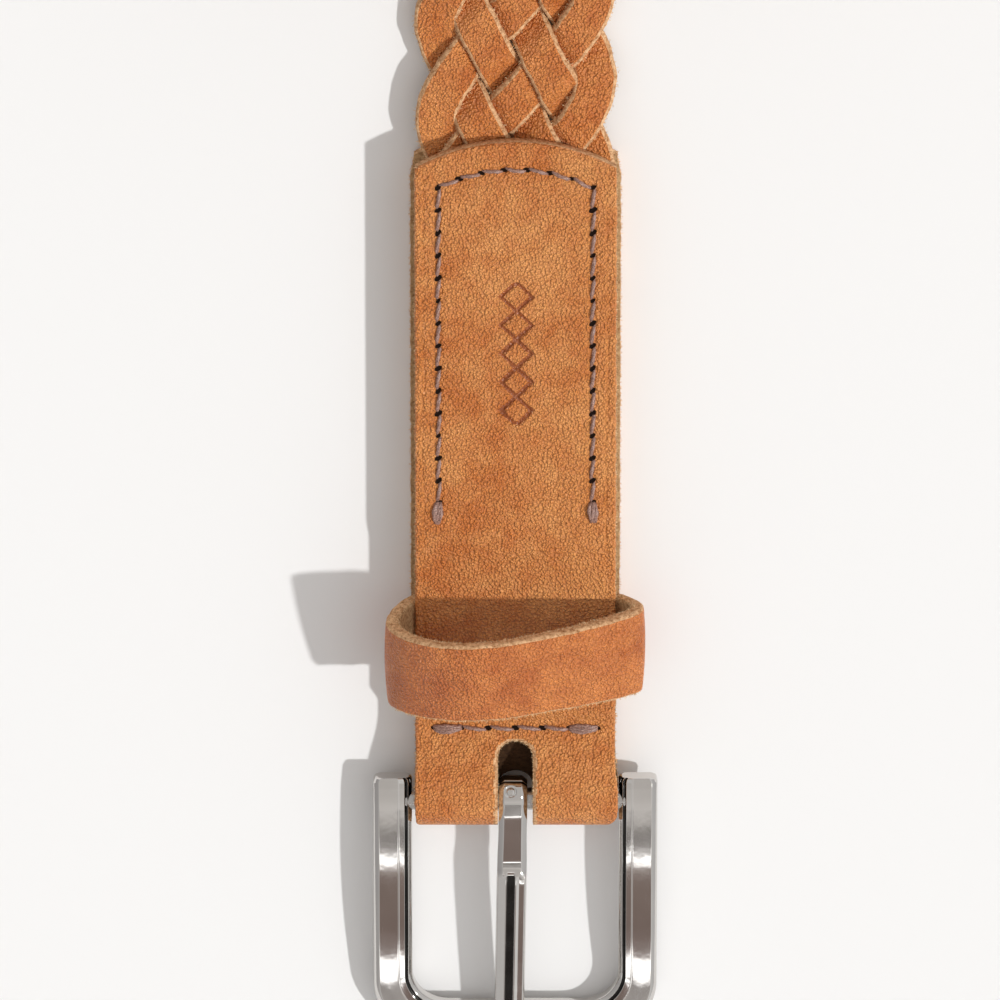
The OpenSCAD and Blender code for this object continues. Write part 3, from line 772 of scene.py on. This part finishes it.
def bar_tack(name, places, at, radius, body, seed):
    """Short bunches of thread sewn over themselves: each place is two ends."""
    r = np.random.default_rng(seed)
    t = np.linspace(0, 1, 26)
    arch = np.sin(math.pi * t)
    # Each pass over the bunch: how far it bows to the side, and how far it crosses over.
    passes = ((-0.66, 0.35), (0.62, -0.25), (0.0, -0.6), (0.2, 0.6), (-0.3, 0.1))
    tubes = []
    for a, b in places:
        a, b = np.array(a), np.array(b)
        n = np.array([-(b - a)[1], (b - a)[0]]) / np.linalg.norm(b - a)
        for bow, cross in passes:
            line = a[None] + (b - a)[None] * t[:, None]
            aside = bow * arch ** 0.6 + cross * (t - 0.5) + r.uniform(-0.1, 0.1)
            line = line + n[None] * aside[:, None]
            lift = -0.5 + (0.5 + radius * r.uniform(0.8, 1.9)) * arch ** 0.4
            path = at(line[:, 0], line[:, 1], lift)
            tubes.append(sweep(path, radius, phase=r.uniform(0, TAU)))
    thread_mesh(name, tubes, body)


head_turns = [0.75 if abs(x) > ROW_X - 0.1 else -0.15 for x, y in head_holes]
holes_mesh("head_seam_holes", head_holes, face_at(1), "strap", 31, head_turns)
holes_mesh("cross_seam_holes", cross_holes, face_at(1), "strap", 32, [-0.3] * len(cross_holes))
stitches("head_seam_top", head_holes, face_at(1), 0.34, "strap", "head_top_thread", seed=3,
         slant=0.30)
stitches("head_seam_under", head_holes, face_at(-1), 0.16, "strap", "head_bobbin_thread", seed=4)
stitches("cross_seam_top", cross_holes, face_at(1), 0.38, "strap", "cross_top_thread", seed=5,
         slant=0.35)
stitches("cross_seam_under", cross_holes, face_at(-1), 0.4, "strap", "cross_bobbin_thread", seed=6)
low = head_holes[0][1]
tacks = [((-ROW_X, low), (-ROW_X - 0.3, low - 3.9)), ((ROW_X, low), (ROW_X + 0.2, low - 3.6)),
         (cross_holes[0], cross_holes[1]), (cross_holes[-2], cross_holes[-1])]
bar_tack("seam_tacks", tacks, face_at(1), 0.34, "strap", 33)
tack_ends = [(-ROW_X - 0.3, low - 4.0), (ROW_X + 0.2, low - 3.7)]
holes_mesh("tack_holes", tack_ends, face_at(1), "strap", 34, [0.75, 0.75])

# ---------- keeper
def closed_curve(knots, count):
    """Even points of a smooth closed curve through the knots, and their run along it."""
    knots = np.array(knots, dtype=float)
    n = len(knots)
    t = np.linspace(0, n, 60 * n, endpoint=False)
    i, f = t.astype(int), (t % 1.0)[:, None]
    p0, p1, p2, p3 = (knots[(i + k) % n] for k in (-1, 0, 1, 2))
    curve = 0.5 * (2 * p1 + (p2 - p0) * f + (2 * p0 - 5 * p1 + 4 * p2 - p3) * f ** 2
                   + (3 * p1 - p0 - 3 * p2 + p3) * f ** 3)
    loop = np.vstack([curve, curve[:1]])
    run = np.concatenate([[0], np.cumsum(np.hypot(*np.diff(loop, axis=0).T))])
    even = np.linspace(0, run[-1], count, endpoint=False)
    return np.stack([np.interp(even, run, loop[:, 0]), np.interp(even, run, loop[:, 1])], -1), even


# The far rim of the keeper, outside: across, and height above the surface. It has settled to
# one side.
KEEPER_RIM = ((0, 3.45), (8, 3.45), (14.5, 3.5), (17.8, 4.5), (19.9, 6.1), (21.9, 8.6),
              (22.4, 11.2), (21.6, 13.0), (18.6, 15.3), (13.2, 18.2), (7.8, 20.6), (3.1, 22.5),
              (-1.7, 24.2), (-7.7, 25.2), (-13.7, 24.2), (-18.5, 21.6), (-21.5, 18.2), (-22.6, 14.6),
              (-21.9, 10.8), (-20.0, 7.2), (-17.6, 4.6), (-14.5, 3.5), (-8, 3.45))
KEEPER_Y, KEEPER_W = 22.8, 16.4


def keeper_mesh():
    """The loop, leaning and flared as it lies, with the loose fibres of its two rims."""
    t = 2.4
    rim, even = closed_curve(KEEPER_RIM, 320)
    tangent = np.roll(rim, -2, axis=0) - np.roll(rim, 2, axis=0)
    tangent /= np.hypot(*tangent.T)[:, None]
    nx, nz = tangent[:, 1], -tangent[:, 0]
    mid = rim - np.stack([nx, nz], -1) * t / 2
    sec, mats = section(KEEPER_W, t, 0.5, 0.35, 37)
    q = sec[None, :, 0]
    left = 1 + 0.010 * wobble(even, 1.5, 41)
    right = 1 + 0.010 * wobble(even, 1.5, 42)
    qq = q * np.where(q < 0, left[:, None], right[:, None])
    h = sec[None, :, 1] + 0.40 * (1 - q ** 2) * (sec[None, :, 1] > 0)
    gx = mid[:, :1] + nx[:, None] * h
    gz = mid[:, 1:] + nz[:, None] * h
    # Its far rim stands higher than its near one, and its top hangs back a little.
    rise = np.clip((gz - BAR_Z) / 20.0, 0, 1.1)
    gz = gz - 4.3 * smooth(rise) * (1 - qq) / 2
    gx = gx * (1 - 0.006 * (1 - qq) * smooth(rise * 2))
    gy = KEEPER_Y + KEEPER_W / 2 * (1 + qq * (1 - 0.035 * rise)) - 1.5 * smooth(rise)
    gy = gy + math.tan(math.radians(1.2)) * smooth(rise * 3) * gx
    grid = np.stack([gx, gy, gz], -1)
    obj = tube("keeper_leather", grid, [KEEPER_GRAIN, EDGE, FLESH], mats, wrap_rows=True)
    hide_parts("keeper")
    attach(obj, "keeper")
    r = np.random.default_rng(77)
    shown = np.nonzero(mid[:, 1] > 6.0)[0]
    count = 2600
    rows = r.choice(shown, count)
    far = r.random(count) < 0.6
    k = len(sec) // 2
    base = np.where(far[:, None], mix(grid[rows, k - 1], grid[rows, k + 1], r.random((count, 1))),
                    mix(grid[rows, 0], grid[rows, -1], r.random((count, 1))))
    out = grid[rows, k] - grid[rows, -1]
    out = np.where(far[:, None], out, -out)
    out = out / np.linalg.norm(out, axis=1)[:, None]
    fuzz("keeper_fibres", base, out, 0.6, "keeper", 78)


keeper_mesh()

# ---------- tip
def tip_half(s):
    """Half of the tip's width at s along."""
    u = np.clip((s - BELT_LEN + TIP_POINT) / TIP_POINT, 0, 1)
    return BELT_W / 2 * np.sqrt(np.maximum(0, 1 - u * u))


def tip_off(s):
    """How far each layer's middle is off the strap's middle."""
    return mix(HALF_BRAID + 0.5, 0.06, smooth((s - STRAND_TO - 1) / 10)) + TIP_T / 2


TIP_INSET, TIP_ROUND = 4.0, 10          # the seam from the edge, and its stitches round the point
tip_rows = int((TIP_LEN - TIP_POINT - TIP_INSET) // STITCH)
tip_half_seam = BELT_W / 2 - TIP_INSET
tip_holes = ([(-tip_half_seam, BELT_LEN - TIP_POINT - i * STITCH) for i in range(tip_rows, 0, -1)]
             + [(-tip_half_seam * math.cos(math.pi * i / TIP_ROUND),
                 BELT_LEN - TIP_POINT + (TIP_POINT - TIP_INSET) * math.sin(math.pi * i / TIP_ROUND))
                for i in range(TIP_ROUND + 1)]
             + [(tip_half_seam, BELT_LEN - TIP_POINT - i * STITCH) for i in range(1, tip_rows + 1)])


def tip_layer(side, name, node):
    """One of the tip's two pieces: side 1 is the face and -1 the lining."""
    u = np.sin(np.linspace(0, math.pi / 2 * 0.985, 40))
    s = np.concatenate([np.arange(BELT_LEN - TIP_LEN, BELT_LEN - TIP_POINT, 0.8),
                        BELT_LEN - TIP_POINT + u * TIP_POINT])
    sec, mats = section(BELT_W, TIP_T, 0.4, 0.3, 41)
    half = tip_half(s)
    gx = sec[None, :, 0] * half[:, None]
    gs = s[:, None] + 0 * gx
    gz = side * tip_off(s)[:, None] + side * sec[None, :, 1]
    grid = place(gx, gs, gz)
    obj = tube(name, grid, [GRAIN, EDGE, FLESH], mats, flip=(side > 0))
    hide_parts(node)
    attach(obj, "strap")


tip_layer(1, "tip_face_leather", "tip_face")
tip_layer(-1, "tip_lining_leather", "tip_lining")


def tip_at(side):
    """Places on the tip's face (1) or lining (-1)."""
    def at(x, s, lift):
        return place(x, s, side * (tip_off(s) + TIP_T / 2 - 0.1 + lift))
    return at


stitches("tip_seam_top", tip_holes, tip_at(1), 0.38, "strap", "tip_top_thread", seed=7)
stitches("tip_seam_under", tip_holes, tip_at(-1), 0.38, "strap", "tip_bobbin_thread", seed=8)

# ---------- buckle
FRAME_W, FRAME_BAR, FRAME_T = 50.0, 6.8, 3.6
FRONT, HEEL = 46.5, 4.5
ARCH = 1.6


def frame_mid(y):
    """Height of the frame's middle: it slopes down to the front bar and is arched between."""
    u = (y + FRONT) / (FRONT + HEEL)
    return (mix(FRAME_T / 2 + 0.05, BAR_Z, np.minimum(1, (y + FRONT) / FRONT))
            + ARCH * np.sin(math.pi * np.clip(u, 0, 1)))


def quarter(cx, cy, r, n):
    """Points of a quarter turn, from facing +x to facing -y."""
    a = np.radians(np.linspace(0, -90, n))
    return np.stack([cx + r * np.cos(a), cy + r * np.sin(a)], -1)


def buckle():
    """The U of the frame, with bevelled edges, a ridge and a groove on its face, and round ears."""
    w, ro, ri = FRAME_W / 2, 11.0, 6.5
    wi = w - FRAME_BAR
    # Outer and inner line of half of the U, matched point for point, from the ear to the front.
    n_side, n_corner, n_front = 40, 26, 22
    so = np.stack([np.full(n_side, w), np.linspace(HEEL, -FRONT + ro, n_side)], -1)
    si = np.stack([np.full(n_side, wi), np.linspace(HEEL, -FRONT + FRAME_BAR + ri, n_side)], -1)
    co = quarter(w - ro, -FRONT + ro, ro, n_corner)
    ci = quarter(wi - ri, -FRONT + FRAME_BAR + ri, ri, n_corner)
    fo = np.stack([np.linspace(w - ro, 0, n_front), np.full(n_front, -FRONT)], -1)
    fi = np.stack([np.linspace(wi - ri, 0, n_front), np.full(n_front, -FRONT + FRAME_BAR)], -1)
    outer = np.concatenate([so, co[1:], fo[1:]])
    inner = np.concatenate([si, ci[1:], fi[1:]])
    mirror = np.array([-1.0, 1.0])
    outer = np.concatenate([outer, (outer[:-1] * mirror)[::-1]])
    inner = np.concatenate([inner, (inner[:-1] * mirror)[::-1]])
    # Section from outside to inside: place across, and height off the middle.
    b, bz, hr = 1.1, 1.0, 0.25
    half = FRAME_T / 2
    ridge, groove_at = (4.15, 4.4, 4.65), (5.5, 5.66, 5.92, 6.08)
    across = np.array([
        (0.0, -half + bz * 0.6), (0.0, half - bz), (hr * 0.4, half - bz + hr),
        (b - hr, half - hr * 0.35), (b, half), (2.6, half + 0.03),
        (ridge[0], half + 0.03), (ridge[1], half + 0.13), (ridge[2], half + 0.02),
        (groove_at[0], half - 0.02), (groove_at[1], half - 0.36), (groove_at[2], half - 0.38),
        (groove_at[3], half - 0.18),
        (FRAME_BAR - hr * 0.4, half - bz + hr), (FRAME_BAR, half - bz),
        (FRAME_BAR, -half + bz * 0.6), (FRAME_BAR - b * 0.6, -half), (b * 0.6, -half)])
    t = across[None, :, 0] / FRAME_BAR
    xy = outer[:, None, :] * (1 - t[..., None]) + inner[:, None, :] * t[..., None]
    z = frame_mid(xy[..., 1]) + across[None, :, 1]
    grid = np.concatenate([xy, z[..., None]], -1)
    # Ears: extra rings that step in, for a bevelled, rounded end.
    def cap(ring):
        centre = ring.mean(axis=0)
        rings = []
        for push, shrink in ((-0.8, 1.0), (-0.25, 0.93), (0.0, 0.80)):
            new = centre + (ring - centre) * np.array([shrink, 1, shrink])
            new[:, 1] = HEEL + push
            rings.append(new)
        return rings

    first, last = cap(grid[0]), cap(grid[-1])
    grid = np.array([first[2], first[1], first[0], *grid[1:-1], last[0], last[1], last[2]])
    groove = [int(at in groove_at[:3]) for at in across[:, 0]]
    obj = tube("buckle_frame_metal", grid, [NICKEL, NEAR_BLACK_GROOVE], groove, flip=True)
    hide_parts("buckle_frame")
    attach(obj, "frame")
    edge = obj.modifiers.new("round", "BEVEL")
    edge.width = 0.18 * MM
    edge.segments = 2
    edge.limit_method = "ANGLE"
    edge.angle_limit = math.radians(28)
    norm = obj.modifiers.new("normals", "WEIGHTED_NORMAL")
    norm.keep_sharp = True


buckle()
for node in ("heel_bar", "keeper_staples"):
    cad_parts[node].data.materials.clear()
    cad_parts[node].data.materials.append(STEEL)


def prong():
    """Flat head that curls round the heel bar, a kink, then a bevelled length with a groove."""
    ring, thick = 4.15, 2.1
    under, over = np.linspace(-160, 0, 50)[:-1], 86 * np.linspace(0, 1, 110) ** 1.25
    turn = np.radians(np.concatenate([under, over]))
    top = BAR_Z + ring
    # The curl is squarer above, where the flat head carries on past the bar.
    power = np.where(turn > 0, 2 / 2.9, 1.0)

    def squarer(v):
        return np.sign(v) * np.abs(v) ** power

    arc_y = mix(ring, 4.6, smooth(turn / 0.7)) * squarer(np.cos(turn))
    arc_z = BAR_Z + ring * squarer(np.sin(turn))
    end = -48.1
    knots = np.array([
        (2.0, top), (-2, top + 0.04), (-6, top - 0.12), (-10.5, top - 0.34), (-12.2, top - 0.30),
        (-13.4, top + 0.05), (-15, top + 0.06), (-20, top - 0.16), (-30, top - 0.88),
        (-38.5, top - 1.60), (-41, top - 1.80), (-44.7, top - 1.95), (-47.4, top - 2.9),
        (end, top - 3.8)])
    run = np.linspace(arc_y[-1] - 0.12, end, 420)
    line = np.interp(run, knots[::-1, 0], knots[::-1, 1])
    line[4:-4] = np.convolve(line, np.ones(9) / 9, "valid")
    ys = np.concatenate([arc_y, run])
    zs = np.concatenate([arc_z, line])
    tangent = np.stack([np.gradient(ys), np.gradient(zs)], -1)
    tangent /= np.hypot(*tangent.T)[:, None]
    up_y, up_z = tangent[:, 1], -tangent[:, 0]
    in_curl = np.arange(len(ys)) < len(arc_y)
    rounder = smooth((-ys - 12.2) / 1.6) * ~in_curl
    half = mix(mix(2.5, 2.6, smooth((-ys - 5.0) / 6)), 2.65, rounder)
    q = np.linspace(-1, 1, 121)
    flat_h = -0.75 * np.clip((np.abs(q) - 0.60) / 0.40, 0, 1) ** 1.3
    flat_h = flat_h[None, :] + 0 * ys[:, None]
    # The length below it: a wide bevel, a groove, a narrow bevel and a flat.
    shape = np.array([
        (-1, -1.10), (-0.94, -0.64), (-0.36, -0.12), (-0.31, -0.42), (0.16, -0.42), (0.22, -0.05),
        (0.27, 0.0), (0.50, -0.17), (0.56, -0.19), (0.86, -0.25), (0.95, -0.55), (1, -1.10)])
    long_h = np.interp(q, shape[:, 0], shape[:, 1])
    long_h[2:-2] = np.convolve(long_h, np.ones(5) / 5, "valid")
    h = mix(flat_h, long_h[None, :], rounder[:, None])
    # A small round mark, and the line where the curl ends.
    across = q[None, :] * half[:, None]
    along = np.concatenate([[0], np.cumsum(np.hypot(np.diff(ys), np.diff(zs)))])
    spot = np.interp(1.05, turn, along[:len(turn)])
    rho = np.hypot(across + 0.4, (along - spot)[:, None])
    h = h - 0.20 * np.exp(-((rho - 0.85) / 0.20) ** 2) + 0.10 * np.exp(-(rho / 0.45) ** 2)
    arc_at = np.concatenate([turn, np.full(len(run), 9.0)])
    h = h - 0.35 * np.exp(-((arc_at[:, None] - 0.30) / 0.045) ** 2)
    lean = -0.40 - 0.8 * np.clip(-ys / 48, 0, 1)
    # Lower side: drawn in from the upper one.
    depth = np.where(in_curl, thick, mix(thick, 2.4, rounder))
    taper = np.clip((ys + 48.4) / 3.0, 0.25, 1)
    tx = across + lean[:, None]
    top_y = ys[:, None] + up_y[:, None] * h
    top_z = zs[:, None] + up_z[:, None] * h
    qb = np.linspace(1, -1, 17)
    hb = -(depth * taper)[:, None] + 0.35 * np.abs(qb[None, :]) ** 4
    bx = qb[None, :] * half[:, None] * 0.96 + lean[:, None]
    by = ys[:, None] + up_y[:, None] * hb
    bz = zs[:, None] + up_z[:, None] * hb
    grid = np.concatenate([np.stack([tx, top_y, top_z], -1), np.stack([bx, by, bz], -1)], 1)
    obj = tube("prong_metal", grid, [NICKEL, NEAR_BLACK_GROOVE], [0] * grid.shape[1], flip=True)
    in_groove = np.zeros((len(ys) - 1, grid.shape[1]), dtype=np.int32)
    in_groove[:, :len(q)] = (rounder[:-1, None] > 0.55) & (np.abs(q[None, :] + 0.08) < 0.235)
    of_faces = np.zeros(len(obj.data.polygons), dtype=np.int32)
    of_faces[:in_groove.size] = in_groove.ravel()
    obj.data.polygons.foreach_set("material_index", of_faces)
    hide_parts("prong")
    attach(obj, "prong")


prong()

# ---------- floor
def plane(name, size, z, mat):
    """A square on the floor, which belongs to the studio and not to the belt."""
    mesh = bpy.data.meshes.new(name)
    h = size / 2
    mesh.from_pydata([(-h, -h, z), (h, -h, z), (h, h, z), (-h, h, z)], [], [(0, 1, 2, 3)])
    mesh.materials.append(mat)
    obj = bpy.data.objects.new(name, mesh)
    bpy.context.scene.collection.objects.link(obj)


paper = Nodes("paper")
plane("floor", 12.0, 0.0, paper.done((0.86, 0.86, 0.86, 1.0), 0.9, specular=0.1))

# ---------- light
KEY_DIR = Vector((0.662, -0.115, 0.69)).normalized()
key = bpy.data.lights.new("key", "SUN")
key.energy = 2.10
key.angle = math.radians(2.2)
key.color = (1.0, 0.995, 0.985)
key_obj = bpy.data.objects.new("key", key)
key_obj.rotation_euler = (-KEY_DIR).to_track_quat("-Z", "Y").to_euler()
bpy.context.scene.collection.objects.link(key_obj)


def sky():
    """Even studio light, with a dark band between two bright strips for the metal to show."""
    world = bpy.data.worlds.new("world")
    bpy.context.scene.world = world
    world.use_nodes = True
    tree = world.node_tree
    back = tree.nodes["Background"]
    n = Nodes.__new__(Nodes)        # its short calls, on the world's own nodes
    n.tree = tree
    coord = tree.nodes.new("ShaderNodeTexCoord").outputs["Generated"]
    split = tree.nodes.new("ShaderNodeSeparateXYZ")
    tree.links.new(coord, split.inputs[0])
    x, y, z = split.outputs
    angle = n.math("ARCTAN2", n.math("MULTIPLY", y, -1.0), z)
    # Strips across the sky, by their angle in degrees from straight up towards the buckle.
    grey, lit = (0.51, 0.485, 0.465), (2.5, 2.5, 2.5)
    bands = ((10.0, (0.54, 0.52, 0.50)), (19.8, (0.66, 0.64, 0.62)), (21.4, (0.23, 0.215, 0.205)),
             (23.2, (0.42, 0.40, 0.39)), (23.55, lit), (24.2, lit), (24.6, (0.30, 0.25, 0.23)),
             (27.0, (0.235, 0.185, 0.165)), (33.0, (0.215, 0.165, 0.147)),
             (36.4, (0.30, 0.25, 0.235)), (37.5, lit), (38.7, lit), (40.0, (0.34, 0.32, 0.31)),
             (46.0, grey))
    low, high = bands[0][0], bands[-1][0]
    deg = n.span(angle, math.radians(low), math.radians(high))
    strips = n.ramp(deg, [((d - low) / (high - low), tone) for d, tone in bands])
    # To the sides the sky has its own tones, darkest in the middle.
    side = n.span(n.math("ABSOLUTE", x), 0.30, 0.42)
    wings = n.ramp(n.span(x, -1.0, 1.0),
                   [(0.0, (0.34, 0.33, 0.33)), (0.30, (0.62, 0.61, 0.60)),
                    (0.38, (0.16, 0.15, 0.15)), (0.62, (0.16, 0.15, 0.15)),
                    (0.70, (0.75, 0.75, 0.74)), (1.0, (0.50, 0.50, 0.50))])
    colour = n.blend("MIX", side, strips, wings)
    n.put(back.inputs["Color"], colour)
    back.inputs["Strength"].default_value = 1.12


sky()
bpy.context.scene.view_settings.view_transform = "Standard"
